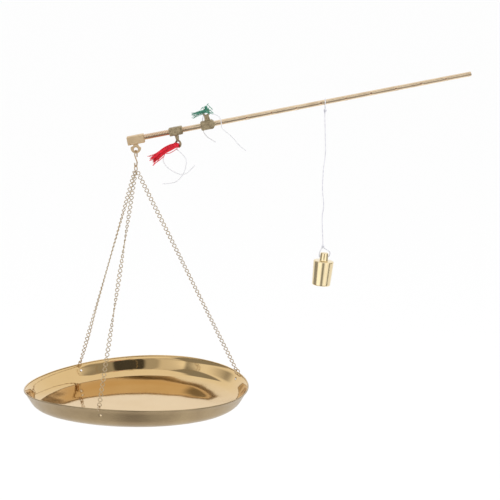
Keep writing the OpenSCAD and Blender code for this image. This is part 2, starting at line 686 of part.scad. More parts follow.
module green_cord_a() {
  color("#dcdde2") tube(green_cord_a_route, cord_d, cord_sides, [0, 1, 0]);
}

module green_cord_b() {
  color("#dcdde2") tube(green_cord_b_route, cord_d, cord_sides, [0, 1, 0]);
}

beam();
graduation_studs();
load_block();
load_pivot_pin();
load_eye();
red_fulcrum_block();
red_cross_pin();
green_fulcrum_block();
green_cross_pin();
s_hook();
gather_ring();
chain_right();
chain_rear();
chain_front();
pan_ring_right();
pan_ring_rear();
pan_ring_front();
pan();
poise_loop();
poise_knot();
poise_cord();
poise();
red_tassel();
red_cord_a();
red_cord_b();
green_tassel();
green_cord_a();
green_cord_b();
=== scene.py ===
import math
import random

import bpy
from mathutils import Matrix, Vector, noise


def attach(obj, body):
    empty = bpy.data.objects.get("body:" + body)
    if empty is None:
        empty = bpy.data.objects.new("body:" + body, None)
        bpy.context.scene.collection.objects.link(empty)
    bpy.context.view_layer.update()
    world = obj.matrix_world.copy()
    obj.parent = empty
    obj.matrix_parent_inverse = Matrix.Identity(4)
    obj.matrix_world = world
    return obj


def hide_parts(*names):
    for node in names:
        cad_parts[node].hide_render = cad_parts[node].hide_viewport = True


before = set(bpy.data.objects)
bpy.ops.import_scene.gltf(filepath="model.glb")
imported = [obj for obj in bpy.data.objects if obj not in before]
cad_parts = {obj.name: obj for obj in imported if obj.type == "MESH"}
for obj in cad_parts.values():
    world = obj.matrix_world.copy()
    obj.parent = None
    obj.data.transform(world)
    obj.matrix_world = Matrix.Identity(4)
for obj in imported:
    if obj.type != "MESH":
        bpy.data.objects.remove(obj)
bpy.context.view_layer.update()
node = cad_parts
MM = 0.001


# Camera. A long lens looks slightly down on the hanging steelyard and is turned by half
# a degree, as in the photograph.
pitch = math.radians(11.0)
roll = math.radians(0.55)
camera_place = (0.0396, -1.9344, 0.2546)
sensor = 36
focal_length = 4.48 * sensor
look = Vector((0, math.cos(pitch), -math.sin(pitch)))
level_up = Vector((0, math.sin(pitch), math.cos(pitch)))
right = Vector((1, 0, 0)) * math.cos(roll) + level_up * math.sin(roll)
up = level_up * math.cos(roll) - Vector((1, 0, 0)) * math.sin(roll)
bpy.ops.object.camera_add()
camera = bpy.context.object
facing = Matrix((right, up, -look)).transposed().to_4x4()
camera.matrix_world = Matrix.Translation(camera_place) @ facing
camera.data.sensor_width = sensor
camera.data.lens = focal_length
camera.data.clip_end = 50
bpy.context.scene.camera = camera
bpy.context.scene.view_settings.view_transform = "Standard"


# Silk cords. Four loose ends of thin twisted silk hang from the two tassels: two plies
# laid round each other, limp, cut off bare. Each lies on its route of the source.
silk_thickness = 0.9 * MM
silk_plies = 2
silk_lay = 2.4 * MM
silk_light = (0.86, 0.86, 0.88)
silk_shade = (0.66, 0.66, 0.69)


def deselect():
    if bpy.context.mode != "OBJECT":
        bpy.ops.object.mode_set(mode="OBJECT")
    bpy.ops.object.select_all(action="DESELECT")


def smooth_line(points, gap, closed=False):
    """Points every gap along a smooth curve through the given points."""
    held = [Vector(p) for p in points]
    if closed:
        ends = held[-1:] + held + held[:2]
    else:
        ends = [2 * held[0] - held[1]] + held + [2 * held[-1] - held[-2]]
    line = []
    for a, b, c, d in zip(ends, ends[1:], ends[2:], ends[3:]):
        steps = max(2, round((c - b).length / gap))
        for i in range(steps):
            t = i / steps
            line.append(0.5 * (2 * b + (c - a) * t + (2 * a - 5 * b + 4 * c - d) * t * t
                               + (3 * b - a - 3 * c + d) * t ** 3))
    if not closed:
        line.append(held[-1])
    return line


def across(line, closed=False):
    """Two unit vectors square to the line at each point, carried along it without a twist."""
    last = len(line) - 1
    ways = []
    for i in range(len(line)):
        before = line[i - 1] if closed or i else line[0]
        after = line[(i + 1) % len(line)] if closed or i < last else line[last]
        ways.append((after - before).normalized())
    side = ways[0].cross(Vector((0.3, 1, 0.2))).normalized()
    pairs = []
    for way in ways:
        side = (side - way * side.dot(way)).normalized()
        pairs.append((side, way.cross(side)))
    return pairs


def new_strands(name):
    """An empty curve whose splines are round strands."""
    bpy.ops.curve.primitive_bezier_curve_add()
    strands = bpy.context.object
    strands.name = name
    strands.data.splines.clear()
    strands.data.dimensions = "3D"
    strands.data.use_fill_caps = True
    strands.data.bevel_depth = 1.0
    strands.data.bevel_resolution = 1
    return strands


def add_strand(strands, line, thickness, look_index=0, closed=False, taper=1.0):
    """A strand along the line, whose thickness goes down to the taper's share at its end."""
    spline = strands.data.splines.new("POLY")
    spline.points.add(len(line) - 1)
    for i, (point, place) in enumerate(zip(spline.points, line)):
        point.co = (*place, 1)
        point.radius = thickness / 2 * (1 + (taper - 1) * (i / max(1, len(line) - 1)) ** 3)
    spline.use_cyclic_u = closed
    spline.use_smooth = True
    spline.material_index = look_index


def add_plies(strands, line, thickness, plies, lay, look_index=0, closed=False):
    """Plies laid round each other along the line, one turn every lay."""
    share = 1 / (1 + 1 / math.sin(math.pi / plies))
    reach = thickness / 2 * (1 - share)
    run = [0]
    for a, b in zip(line, line[1:]):
        run.append(run[-1] + (b - a).length)
    turns = run[-1] / lay
    if closed:
        turns = max(1, round(turns))
    for ply in range(plies):
        path = []
        for place, (side, lift), done in zip(line, across(line, closed), run):
            angle = math.tau * (turns * done / run[-1] + ply / plies)
            path.append(place + (side * math.cos(angle) + lift * math.sin(angle)) * reach)
        add_strand(strands, path, thickness * share, look_index, closed)


def finish_strands(strands, *looks):
    """Makes the strands a mesh. A strand's look_index chooses among the looks."""
    for look in looks:
        strands.data.materials.append(look)
    deselect()
    strands.select_set(True)
    bpy.context.view_layer.objects.active = strands
    bpy.ops.object.convert(target="MESH")
    bpy.ops.object.shade_smooth()
    return strands


def fill(step, values):
    """Sets a shader node's inputs by their names."""
    for name, value in values.items():
        step.inputs[name].default_value = value


def fibre_group():
    """The colour and the relief of fibres: streaks between a light and a shade."""
    group = bpy.data.node_groups.new("fibres", "ShaderNodeTree")
    add = group.interface.new_socket
    add("Light", in_out="INPUT", socket_type="NodeSocketColor")
    add("Shade", in_out="INPUT", socket_type="NodeSocketColor")
    add("Streak Size", in_out="INPUT", socket_type="NodeSocketFloat")
    add("Color", in_out="OUTPUT", socket_type="NodeSocketColor")
    add("Height", in_out="OUTPUT", socket_type="NodeSocketFloat")
    given = group.nodes.new("NodeGroupInput")
    out = group.nodes.new("NodeGroupOutput")
    place = group.nodes.new("ShaderNodeTexCoord")
    streaks = group.nodes.new("ShaderNodeTexNoise")
    fill(streaks, {"Detail": 5, "Roughness": 0.65})
    spread = group.nodes.new("ShaderNodeMapRange")
    fill(spread, {"From Min": 0.36, "From Max": 0.64})
    mix = group.nodes.new("ShaderNodeMix")
    mix.data_type = "RGBA"
    link = group.links.new
    link(place.outputs["Object"], streaks.inputs["Vector"])
    link(given.outputs["Streak Size"], streaks.inputs["Scale"])
    link(streaks.outputs["Fac"], spread.inputs["Value"])
    link(spread.outputs["Result"], mix.inputs["Factor"])
    link(given.outputs["Shade"], mix.inputs[6])
    link(given.outputs["Light"], mix.inputs[7])
    link(mix.outputs[2], out.inputs["Color"])
    link(streaks.outputs["Fac"], out.inputs["Height"])
    return group


fibres = fibre_group()


def yarn(name, light, shade, streak, sheen=0.3):
    """A soft thread with streaks of this scale."""
    thread = bpy.data.materials.new(name)
    thread.use_nodes = True
    tree = thread.node_tree
    shader = tree.nodes["Principled BSDF"]
    fill(shader, {"Roughness": 0.75, "Sheen Weight": sheen, "Sheen Roughness": 0.4})
    fluff = tree.nodes.new("ShaderNodeGroup")
    fluff.node_tree = fibres
    fill(fluff, {"Light": (*light, 1), "Shade": (*shade, 1), "Streak Size": streak})
    relief = tree.nodes.new("ShaderNodeBump")
    fill(relief, {"Strength": 0.4, "Distance": 0.1 * MM})
    tree.links.new(fluff.outputs["Color"], shader.inputs["Base Color"])
    tree.links.new(fluff.outputs["Height"], relief.inputs["Height"])
    tree.links.new(relief.outputs["Normal"], shader.inputs["Normal"])
    return thread


silk = yarn("silk", silk_light, silk_shade, 900)


def silk_cord(name, body, points):
    """A loose cord along its route, in millimetres."""
    line = smooth_line([Vector(p) * MM for p in points], 0.3 * MM)
    strands = new_strands(name)
    add_plies(strands, line, silk_thickness, silk_plies, silk_lay)
    cord = finish_strands(strands, silk)
    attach(cord, body)
    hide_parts(name)
    cord.name = name + "_silk"


silk_cord("red_cord_a", "red_tassel", [
    (-25.6, -0.6, -32.2), (-24.2, -2.4, -32.9), (-22.2, -3.4, -34.4), (-19.6, -3.9, -36.8),
    (-17.5, -4, -39.6), (-16.5, -4, -42.8), (-16.9, -4, -46.2), (-17.6, -4, -49.6),
    (-18.9, -4, -53), (-21, -4, -56.4), (-23.8, -4, -59.3), (-27, -4, -61.2), (-30.3, -4, -61.9),
    (-33.8, -4, -62.3), (-37.3, -4, -62.5)])
silk_cord("red_cord_b", "red_tassel", [
    (-36, -5.2, -37.8), (-36.5, -5.5, -39.7), (-36.6, -5.8, -41.6), (-36, -5.8, -43.6),
    (-34.8, -5.8, -45.6), (-33.1, -5.8, -47.6), (-31, -5.8, -49.3), (-28.6, -5.8, -50.8),
    (-26, -5.8, -52.2), (-23.3, -5.8, -53.3), (-20.6, -5.8, -53.9), (-17.8, -5.7, -53.4),
    (-15.2, -5.6, -51.8), (-12.2, -5.5, -49.1), (-9, -5.4, -45.5)])
silk_cord("green_cord_a", "lifting_cord", [
    (-0.2, 3.9, 0.6), (-0.9, 4.7, -0.7), (-1.6, 5.2, -2.2), (-2.3, 5.5, -4.2), (-2.8, 5.6, -6.4),
    (-3, 5.6, -8.8), (-3, 5.6, -11.2), (-2.8, 5.6, -13.6), (-2.4, 5.6, -16), (-1.5, 5.5, -18.4),
    (-0.1, 5.4, -20.6), (1.7, 5.4, -22.4), (3.9, 5.3, -23.9), (6.3, 5.2, -25.3), (8.8, 5.1, -26.7)])
silk_cord("green_cord_b", "lifting_cord", [
    (5.2, -4.2, -0.5), (7.4, -4.2, -1), (9.7, -4.2, -1.7), (12, -4.4, -3.4), (13.3, -4.5, -6.3),
    (13.7, -4.5, -9.8), (14.5, -4.5, -13.2), (17.4, -4.5, -15.9), (20.3, -4.5, -18.2),
    (23, -4.4, -20.6), (25.4, -4.3, -23.2), (27.6, -4.2, -25.8), (29.8, -4.2, -28.2),
    (32.5, -4.1, -30.5), (35.4, -4, -32.7)])


# Studio. A white room with a broad soft light above and one to the right. The polished
# brass mirrors dark panels: the camera's side, both side walls and the space overhead in
# front. The floor is far below, as the steelyard hangs, and ends just in front of it.
world = bpy.data.worlds.new("studio")
bpy.context.scene.world = world
world.use_nodes = True
sky = world.node_tree
backdrop = sky.nodes["Background"]
backdrop.inputs["Strength"].default_value = 1.05


def sky_math(operation, *values):
    step = sky.nodes.new("ShaderNodeMath")
    step.operation = operation
    for socket, value in zip(step.inputs, values):
        if isinstance(value, (int, float)):
            socket.default_value = value
        else:
            sky.links.new(value, socket)
    return step.outputs[0]


sky_place = sky.nodes.new("ShaderNodeTexCoord")
sky_part = sky.nodes.new("ShaderNodeSeparateXYZ")
sky.links.new(sky_place.outputs["Generated"], sky_part.inputs["Vector"])
sky_front = sky_math("MULTIPLY", sky_part.outputs["Y"], -1)
sky_bearing = sky_math("DEGREES", sky_math("ARCTAN2", sky_part.outputs["X"], sky_front))
sky_height = sky_math("DEGREES", sky_math("ARCSINE", sky_part.outputs["Z"]))


def sky_ramp(value, start, end, low, high):
    """Goes softly from low to high as the value goes from start to end."""
    ramp = sky.nodes.new("ShaderNodeMapRange")
    ramp.interpolation_type = "SMOOTHSTEP"
    sky.links.new(value, ramp.inputs["Value"])
    for socket, number in zip(("From Min", "From Max", "To Min", "To Max"), (start, end, low, high)):
        ramp.inputs[socket].default_value = number
    return ramp.outputs["Result"]


def panel(bearings, heights, soft, shade):
    """How white the room is: the shade within the bearings and the heights, and 1 outside.
    Both are in degrees, and bearings count from the camera's side."""
    inside = 1
    for value, (low, high) in ((sky_bearing, bearings), (sky_height, heights)):
        inside = sky_math("MULTIPLY", inside, sky_ramp(value, low - soft / 2, low + soft / 2, 0, 1))
        inside = sky_math("MULTIPLY", inside, sky_ramp(value, high - soft / 2, high + soft / 2, 1, 0))
    return sky_math("MULTIPLY_ADD", inside, shade - 1, 1)


camera_side = (
    ((-15, 10), (-24, 10), 6, 0.3),
    ((-15, 10), (-95, -24), 6, 0.5))
side_walls = (
    ((-120, -66), (-95, 24), 16, 0.3),
    ((66, 118), (-95, 18), 16, 0.3))
reflectors = (
    ((-64, -24), (-95, 38), 16, 1.3),
    ((22, 64), (-95, 38), 16, 1.3))
table = (((-130, 130), (-95, -22), 10, 0.45),)
overhead = (
    ((-13, 30), (43, 61.5), 7, 0.07),
    ((30, 74), (43, 61.5), 7, 0.38),
    ((-30, -13), (40, 61.5), 7, 0.5),
    ((-60, -30), (40, 61.5), 5, 0.8),
    ((-125, -60), (36, 61.5), 5, 0.32))
room = 1
for bearings, heights, soft, shade in camera_side + side_walls + reflectors + table + overhead:
    room = sky_math("MULTIPLY", room, panel(bearings, heights, soft, shade))
mirrored = sky.nodes.new("ShaderNodeLightPath")
shown = sky.nodes.new("ShaderNodeMix")
sky.links.new(mirrored.outputs["Is Glossy Ray"], shown.inputs[0])
shown.inputs[2].default_value = 1.0
sky.links.new(room, shown.inputs[3])
sky.links.new(shown.outputs[0], backdrop.inputs["Color"])


def lamp(name, place, aim, size, power):
    bpy.ops.object.light_add(type="AREA", location=place)
    light = bpy.context.object
    light.name = name
    light.data.shape = "RECTANGLE"
    light.data.size = size[0]
    light.data.size_y = size[1]
    light.data.energy = power
    light.visible_glossy = False
    light.rotation_euler = (Vector(aim) - Vector(place)).to_track_quat("-Z", "Y").to_euler()


lamp("top_softbox", (0.2, 0.5, 1.7), (0, 0, -0.2), (1.8, 1.4), 8)
lamp("right_softbox", (1.6, -0.5, 0.6), (0, 0, -0.1), (0.9, 1.4), 5)

floor_middle = (0, 8.8, -1.1)
floor_size = (6.4, 18.3, 1)
floor_white = (0.94, 0.94, 0.94, 1)
bpy.ops.mesh.primitive_plane_add(size=1, location=floor_middle)
floor = bpy.context.object
floor.name = "floor"
floor.scale = floor_size
bpy.ops.object.transform_apply(location=True, rotation=True, scale=True)
floor_paint = bpy.data.materials.new("floor_paint")
floor_paint.use_nodes = True
fill(floor_paint.node_tree.nodes["Principled BSDF"],
     {"Base Color": floor_white, "Roughness": 1.0, "Specular IOR Level": 0.0})
floor.data.materials.append(floor_paint)


# Beam. A drawn brass rod, slightly tapered, with its thin end chamfered. Handling has
# left it pinkish brown. Near the load block its colour carries painted highlight streaks:
# brown spiral stripes that copy the streaked highlight along the rod.
beam_tilt = math.radians(11.6)
beam_drop = 10.9 * MM
beam_bright = (0.80, 0.64, 0.45)
beam_dull = (0.54, 0.38, 0.23)
# The brown of the painted highlight streaks that are striped round the rod.
painted_streak_colour = (0.50, 0.27, 0.16, 1)
painted_streak_turn = 420
painted_streak_start = -36 * MM
painted_streak_end = 4 * MM


def brass_group():
    """Brass in any finish: slow patches of dull in bright, a grain in the gloss, and a relief."""
    group = bpy.data.node_groups.new("worn_brass", "ShaderNodeTree")
    add = group.interface.new_socket
    add("Bright", in_out="INPUT", socket_type="NodeSocketColor")
    add("Dull", in_out="INPUT", socket_type="NodeSocketColor")
    for value in ("Patch Size", "Dullness", "Grain Size", "Gloss Low", "Gloss High"):
        add(value, in_out="INPUT", socket_type="NodeSocketFloat")
    add("Color", in_out="OUTPUT", socket_type="NodeSocketColor")
    add("Roughness", in_out="OUTPUT", socket_type="NodeSocketFloat")
    add("Height", in_out="OUTPUT", socket_type="NodeSocketFloat")
    new = group.nodes.new
    link = group.links.new
    given = new("NodeGroupInput")
    out = new("NodeGroupOutput")
    place = new("ShaderNodeTexCoord")
    patches = new("ShaderNodeTexNoise")
    fill(patches, {"Detail": 6, "Roughness": 0.6})
    link(place.outputs["Object"], patches.inputs["Vector"])
    link(given.outputs["Patch Size"], patches.inputs["Scale"])
    grain = new("ShaderNodeTexNoise")
    grain.inputs["Detail"].default_value = 3
    link(place.outputs["Object"], grain.inputs["Vector"])
    link(given.outputs["Grain Size"], grain.inputs["Scale"])
    spread = new("ShaderNodeMapRange")
    fill(spread, {"From Min": 0.35, "From Max": 0.7})
    link(patches.outputs["Fac"], spread.inputs["Value"])
    amount = new("ShaderNodeMath")
    amount.operation = "MULTIPLY"
    link(spread.outputs["Result"], amount.inputs[0])
    link(given.outputs["Dullness"], amount.inputs[1])
    mix = new("ShaderNodeMix")
    mix.data_type = "RGBA"
    link(amount.outputs[0], mix.inputs["Factor"])
    link(given.outputs["Bright"], mix.inputs[6])
    link(given.outputs["Dull"], mix.inputs[7])
    gloss = new("ShaderNodeMapRange")
    link(grain.outputs["Fac"], gloss.inputs["Value"])
    fill(gloss, {"From Min": 0.3, "From Max": 0.7})
    link(given.outputs["Gloss Low"], gloss.inputs["To Min"])
    link(given.outputs["Gloss High"], gloss.inputs["To Max"])
    link(mix.outputs[2], out.inputs["Color"])
    link(gloss.outputs["Result"], out.inputs["Roughness"])
    link(grain.outputs["Fac"], out.inputs["Height"])
    return group


worn_brass = brass_group()


def brass(name, bright, dull, patch, dullness, gloss, grain=2600, relief=0.0):
    """A brass whose patches and grain have these scales. Gloss is its roughness, low and high."""
    metal = bpy.data.materials.new(name)
    metal.use_nodes = True
    tree = metal.node_tree
    shader = tree.nodes["Principled BSDF"]
    shader.inputs["Metallic"].default_value = 1.0
    wear = tree.nodes.new("ShaderNodeGroup")
    wear.name = "wear"
    wear.node_tree = worn_brass
    fill(wear, {"Bright": (*bright, 1), "Dull": (*dull, 1), "Patch Size": patch, "Dullness": dullness,
                "Grain Size": grain, "Gloss Low": gloss[0], "Gloss High": gloss[1]})
    tree.links.new(wear.outputs["Color"], shader.inputs["Base Color"])
    tree.links.new(wear.outputs["Roughness"], shader.inputs["Roughness"])
    if relief:
        bump = tree.nodes.new("ShaderNodeBump")
        fill(bump, {"Strength": relief, "Distance": 0.3 * MM})
        tree.links.new(wear.outputs["Height"], bump.inputs["Height"])
        tree.links.new(bump.outputs["Normal"], shader.inputs["Normal"])
    return metal


def finish_node(name, metal):
    """Dresses a piece that keeps the shape of its source."""
    node[name].data.materials.clear()
    node[name].data.materials.append(metal)


def painted_highlight_streaks(metal):
    """Painted highlight streaks: brown stripes, painted into the colour, that wind round the beam near the
    load block.
    """
    tree = metal.node_tree
    new = tree.nodes.new
    link = tree.links.new
    place = new("ShaderNodeTexCoord")
    lay = new("ShaderNodeMapping")
    lay.vector_type = "POINT"
    lay.inputs["Rotation"].default_value = (0, beam_tilt, 0)
    link(place.outputs["Object"], lay.inputs["Vector"])
    part = new("ShaderNodeSeparateXYZ")
    link(lay.outputs["Vector"], part.inputs["Vector"])
    lower = new("ShaderNodeMath")
    lower.operation = "ADD"
    lower.inputs[1].default_value = beam_drop
    link(part.outputs["Z"], lower.inputs[0])
    angle = new("ShaderNodeMath")
    angle.operation = "ARCTAN2"
    link(lower.outputs[0], angle.inputs[0])
    link(part.outputs["Y"], angle.inputs[1])
    along = new("ShaderNodeMath")
    along.operation = "MULTIPLY_ADD"
    along.inputs[1].default_value = painted_streak_turn
    link(part.outputs["X"], along.inputs[0])
    link(angle.outputs[0], along.inputs[2])
    spot = new("ShaderNodeCombineXYZ")
    link(along.outputs[0], spot.inputs["X"])
    stripe = new("ShaderNodeTexWave")
    fill(stripe, {"Scale": 0.32, "Distortion": 1.2, "Detail": 2})
    link(spot.outputs["Vector"], stripe.inputs["Vector"])
    fade = new("ShaderNodeMapRange")
    fade.interpolation_type = "SMOOTHSTEP"
    fill(fade, {"From Min": painted_streak_start, "From Max": painted_streak_end, "To Min": 0.75, "To Max": 0.0})
    link(part.outputs["X"], fade.inputs["Value"])
    amount = new("ShaderNodeMath")
    amount.operation = "MULTIPLY"
    link(stripe.outputs["Fac"], amount.inputs[0])
    link(fade.outputs["Result"], amount.inputs[1])
    mix = new("ShaderNodeMix")
    mix.data_type = "RGBA"
    mix.inputs[7].default_value = painted_streak_colour
    link(amount.outputs[0], mix.inputs["Factor"])
    link(tree.nodes["wear"].outputs["Color"], mix.inputs[6])
    link(mix.outputs[2], tree.nodes["Principled BSDF"].inputs["Base Color"])


beam_brass = brass("beam_brass", beam_bright, beam_dull, 90, 0.45, (0.14, 0.24), grain=4000, relief=0.1)
# Paints the highlight's streaks into the beam's colour near the load block.
painted_highlight_streaks(beam_brass)
finish_node("beam", beam_brass)


# Graduation studs. Ten short copper pins mark the weights. They are driven into holes
# along the front of the beam and filed flush.
stud_copper = brass("stud_copper", (0.42, 0.18, 0.10), (0.16, 0.08, 0.05), 500, 0.7, (0.35, 0.55))
finish_node("graduation_studs", stud_copper)


# Load block and its eye. A filed brass block is fitted on the beam's end. The eye swings
# in its slot on a pin, and its foot is flared round the hole.
load_brass = brass("load_brass", (0.74, 0.56, 0.35), (0.60, 0.44, 0.26), 160, 0.5, (0.36, 0.52),
                   grain=1500, relief=0.5)
for name in ("load_block", "load_eye", "load_pivot_pin"):
    finish_node(name, load_brass)


# Fulcrum blocks. Two rough sand-cast blocks sit on the beam, each with its eye: the red
# one's hangs below, the green one's stands above. The cast skin is pitted and uneven. A
# pin goes through each block and the beam.
cast_pits = 0.16 * MM
cast_grid = 0.22 * MM
cast_brass = brass("cast_brass", (0.50, 0.41, 0.26), (0.20, 0.15, 0.09), 420, 0.9, (0.4, 0.6),
                   grain=900, relief=0.9)


def cast_copy(name):
    """A copy of the block with a cast skin: its faces are divided and pitted."""
    deselect()
    node[name].select_set(True)
    bpy.context.view_layer.objects.active = node[name]
    bpy.ops.object.duplicate()
    cast = bpy.context.object
    bpy.ops.object.mode_set(mode="EDIT")
    bpy.ops.mesh.select_all(action="SELECT")
    bpy.ops.mesh.remove_doubles(threshold=1e-6)
    bpy.ops.object.mode_set(mode="OBJECT")
    remesh = cast.modifiers.new("remesh", "REMESH")
    remesh.mode = "VOXEL"
    remesh.voxel_size = cast_grid
    remesh.use_smooth_shade = True
    bpy.ops.object.modifier_apply(modifier="remesh")
    for corner in cast.data.vertices:
        place = corner.co / MM
        rough = noise.noise(place * 0.9) + 0.6 * noise.noise(place * 2.1 + Vector((7, 3, 1)))
        pit = min(0, noise.noise(place * 1.4 + Vector((2, 9, 4))) + 0.25)
        corner.co += corner.normal * cast_pits * (0.5 * rough + 1.2 * pit - 0.15)
    cast.data.update()
    return cast


def dress_cast(name):
    cast = cast_copy(name)
    cast.name = name + "_cast"
    for key in [k for k in cast.keys() if k.startswith("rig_")]:
        del cast[key]
    cast.data.materials.clear()
    cast.data.materials.append(cast_brass)
    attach(cast, "beam")
    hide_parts(name)


dress_cast("red_fulcrum_block")
dress_cast("green_fulcrum_block")
finish_node("red_cross_pin", cast_brass)
finish_node("green_cross_pin", cast_brass)


# S-hook and gather ring. Drawn brass wire, bent cold: the hook's upper curl hangs in the
# load eye and its lower curl carries the ring of the three chains.
hook_turn = math.radians(160)
gather_turn = math.radians(-60)
hook_wire = 1.2 * MM
hook_curl = 2.5 * MM
plumb = Vector((0, 0, 1))
eye_hole = Vector((-60.772, 0, -32.915)) * MM
curl_top = eye_hole - plumb * 3.5 * MM
curl_low = curl_top - plumb * 9.3 * MM
gather_radius = 2.5 * MM
gather_wire = 0.9 * MM
gather_slack = 0.05 * MM
gather_centre = curl_low - plumb * (hook_curl - (hook_wire + gather_wire) / 2 - gather_slack + gather_radius)
hook_side = Vector((-math.sin(hook_turn), math.cos(hook_turn), 0))
gather_side = Vector((math.cos(gather_turn), math.sin(gather_turn), 0))
wire_brass = brass("wire_brass", (0.66, 0.52, 0.36), (0.40, 0.29, 0.17), 260, 0.5, (0.2, 0.34))


def arc(centre, radius, a, b, first, second, step=12):
    """Points of an arc from a to b degrees, in the plane of two unit vectors."""
    count = max(2, round(abs(b - a) / step))
    turns = [math.radians(a + (b - a) * i / count) for i in range(count + 1)]
    return [centre + radius * (first * math.cos(turn) + second * math.sin(turn)) for turn in turns]


hook_line = (
    [curl_top - hook_side * hook_curl - plumb * 3.6 * MM]
    + arc(curl_top, hook_curl, 180, 0, hook_side, plumb)
    + [curl_top + hook_side * hook_curl * 0.96 - plumb * 1.6 * MM,
       curl_low - hook_side * hook_curl * 0.96 + plumb * 1.6 * MM]
    + arc(curl_low, hook_curl, 180, 360, hook_side, plumb)
    + [curl_low + hook_side * hook_curl + plumb * 1.2 * MM])
hook = new_strands("s_hook_wire")
hook.data.bevel_resolution = 3
add_strand(hook, smooth_line(hook_line, 0.25 * MM), hook_wire)
finish_strands(hook, wire_brass)
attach(hook, "hook")
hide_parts("s_hook")


def wire_ring(name, centre, radius, wire, turn, steps=40, sides=12):
    deselect()
    bpy.ops.mesh.primitive_torus_add(major_segments=steps, minor_segments=sides, major_radius=radius,
                                     minor_radius=wire / 2, location=centre, rotation=turn)
    ring = bpy.context.object
    ring.name = name
    bpy.ops.object.shade_smooth()
    bpy.ops.object.transform_apply(location=True, rotation=True, scale=True)
    return ring


gather = wire_ring("gather_ring_wire", gather_centre, gather_radius, gather_wire,
                   (math.radians(90), 0, gather_turn))
gather.data.materials.append(wire_brass)
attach(gather, "pan")
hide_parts("gather_ring")


# Pan. Spun from thin sheet: a flat floor, a gentle curve, a turn, a lip and a beaded rim.
# Inside it is polished like a mirror. Outside it is rougher, and darker in colour: partly dull
# tarnish, partly painted shade on the faces that turn down. It is a little out of true, as a
# beaten pan is, and holed three times for its rings.
pan_radius = 99.5
pan_depth = 18.6
pan_sheet = 0.345
pan_flat = 64.3
pan_curve = 80
pan_slope = math.radians(16)
pan_corner = 13
pan_wall = math.radians(60)
pan_lip = 10.97
pan_bead = 0.6
rim_start = 98.5
hole_radius = 1.0
hole_angle = math.radians(55.1)
hole_place = Vector((96.16, 0, -5.21))
ring_bearings = (24.3, 125, 254.6)
pan_frame = (Matrix.Translation(Vector((-60.372, 0, -243.715)) * MM)
             @ Matrix.Rotation(math.radians(-1.08), 4, "Y") @ Matrix.Rotation(math.radians(-1.37), 4, "X"))
pan_polish = brass("pan_polish", (0.70, 0.50, 0.25), (0.64, 0.43, 0.19), 22, 0.6, (0.05, 0.08),
                   grain=900)
# Outside brass: rougher, and darker partly as painted shade for the pan's underside.
pan_dull_and_shaded = brass("pan_dull_and_shaded", (0.40, 0.30, 0.17), (0.28, 0.20, 0.115), 28, 0.8, (0.26, 0.4),
                 grain=1600, relief=0.2)


def pan_section():
    """The pan's section from the middle of its underside round the rim to the middle inside:
    a flat floor, a gentle curve, the turn and the straight lip, in millimetres."""
    outside = [(Vector((r, 0, -pan_depth)), 0) for r in (0, 12, 24, 36, 46, 56, pan_flat)]
    up_wall = Vector((math.cos(pan_wall), 0, math.sin(pan_wall)))
    off_wall = Vector((-math.sin(pan_wall), 0, math.cos(pan_wall)))

    def bend(radius, start, end, steps):
        place, _ = outside[-1]
        centre = place + radius * Vector((-math.sin(start), 0, math.cos(start)))
        for i in range(1, steps + 1):
            a = start + (end - start) * i / steps
            outside.append((centre + radius * Vector((math.sin(a), 0, -math.cos(a))), a))

    bend(pan_curve, 0, pan_slope, 8)
    bend(pan_corner, pan_slope, pan_wall, 12)
    place, _ = outside[-1]
    for share in (0.3, 0.6, 0.93):
        outside.append((place + pan_lip * share * up_wall, pan_wall))
    bead = Vector((pan_radius, 0, 0)) + off_wall * pan_sheet / 2
    rim = [bead + pan_bead * Vector((math.cos(a), 0, math.sin(a)))
           for a in map(math.radians, range(-95, 236, 30))]
    inside = [place + pan_sheet * Vector((-math.sin(a), 0, math.cos(a))) for place, a in outside]
    return [place for place, _ in outside], rim, inside[::-1]


def lathe(name, points, steps):
    """A vertex is drawn along the section and spun about the upright axis."""
    deselect()
    bpy.ops.mesh.primitive_plane_add(size=0.001)
    piece = bpy.context.object
    piece.name = name
    bpy.ops.object.mode_set(mode="EDIT")
    bpy.ops.mesh.select_all(action="SELECT")
    bpy.ops.mesh.merge(type="CENTER")
    bpy.ops.transform.translate(value=points[0])
    for a, b in zip(points, points[1:]):
        bpy.ops.mesh.extrude_vertices_move(TRANSFORM_OT_translate={"value": b - a})
    bpy.ops.mesh.select_all(action="SELECT")
    bpy.ops.mesh.spin(steps=steps, angle=math.tau, center=(0, 0, 0), axis=(0, 0, 1))
    bpy.ops.mesh.select_all(action="SELECT")
    bpy.ops.mesh.remove_doubles(threshold=1e-6)
    bpy.ops.mesh.normals_make_consistent(inside=False)
    bpy.ops.object.mode_set(mode="OBJECT")
    return piece


def bore(piece, cutter):
    """Cuts the piece with the cutter, which goes."""
    cut = piece.modifiers.new("bore", "BOOLEAN")
    cut.object = cutter
    cut.solver = "EXACT"
    deselect()
    bpy.context.view_layer.objects.active = piece
    piece.select_set(True)
    bpy.ops.object.modifier_apply(modifier="bore")
    bpy.data.objects.remove(cutter, do_unlink=True)


def out_of_true(x, y):
    """How far the beaten pan stands up or down at a place, in millimetres: its rim's tilt and
    saddle, its floor's own tilt, and its dents."""
    far = math.hypot(x, y) / pan_radius
    bearing = math.atan2(y, x)
    tilt = -0.86 - 0.00192 * x + 0.02217 * y
    saddle = 2.97 * far ** 4 * math.cos(2 * (bearing - math.radians(69.9)))
    sunk = 0.026 * y * (1 - far * far)
    dents = (0.09 * noise.noise(Vector((x / 30, y / 30, 3.1)))
             + 0.03 * noise.noise(Vector((x / 12, y / 12, 8.4))))
    return tilt + saddle + sunk + dents


